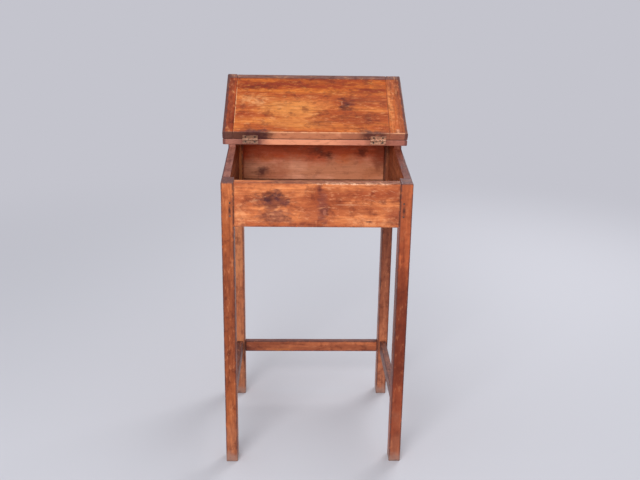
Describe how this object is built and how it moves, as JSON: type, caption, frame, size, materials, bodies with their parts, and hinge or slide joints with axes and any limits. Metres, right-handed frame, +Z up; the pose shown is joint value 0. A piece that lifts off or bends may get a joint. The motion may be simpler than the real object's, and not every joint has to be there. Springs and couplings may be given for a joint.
{
  "type": "school desk",
  "caption": "Wooden school desk on four straight legs: a small book compartment under a sloping lid that opens back on butt hinges.",
  "frame": {"origin": "on the floor, below the middle of the desk's width and of its reach from front legs to open lid", "axes": "+X to the desk's right as seen from the front, +Y from the front to the back, +Z up"},
  "size_m": [0.484, 0.4832, 0.9452],
  "materials": {
    "leg_wood": "stained and varnished pine, worn",
    "apron_wood": "stained and varnished, scratched and blotched",
    "side_wood": "stained and varnished, worn",
    "box_wood": "stained, dull inside the compartment",
    "stretcher_wood": "stained and varnished, darkened",
    "top_wood": "stained and varnished, worn along the edges",
    "lid_wood": "orange varnish with darker streaks",
    "cleat_wood": "stained and varnished, worn at the edges",
    "hinge_brass": "old tarnished brass",
    "steel": "old darkened steel"
  },
  "bodies": {
    "frame": {"leg_front_left": "leg_wood", "leg_front_right": "leg_wood", "leg_rear_left": "leg_wood", "leg_rear_right": "leg_wood", "front_apron": "apron_wood", "side_panel_left": "side_wood", "side_panel_right": "side_wood", "back_panel": "box_wood", "stretcher_left": "stretcher_wood", "stretcher_right": "stretcher_wood", "stretcher_rear": "stretcher_wood", "bottom_board": "box_wood", "batten_front": "box_wood", "batten_rear": "box_wood", "batten_left": "box_wood", "batten_right": "box_wood", "fixed_top": "top_wood", "hinge_left_fixed_leaf": "hinge_brass", "hinge_left_pin": "steel", "hinge_right_fixed_leaf": "hinge_brass", "hinge_right_pin": "steel", "hinge_screws_fixed": "steel", "top_nails": "steel", "apron_nails": "steel", "floor_nails": "steel", "batten_nails": "steel"},
    "lid": {"lid_panel": "lid_wood", "lid_cleat_left": "cleat_wood", "lid_cleat_right": "cleat_wood", "hinge_left_lid_leaf": "hinge_brass", "hinge_right_lid_leaf": "hinge_brass", "hinge_screws_lid": "steel"}
  },
  "joints": [
    {"name": "lid_hinge", "type": "hinge", "parent": "frame", "child": "lid", "pos_m": [0, 0.0088, 0.80391], "axis": [1, 0, 0], "range_deg": [0, 159]}
  ]
}
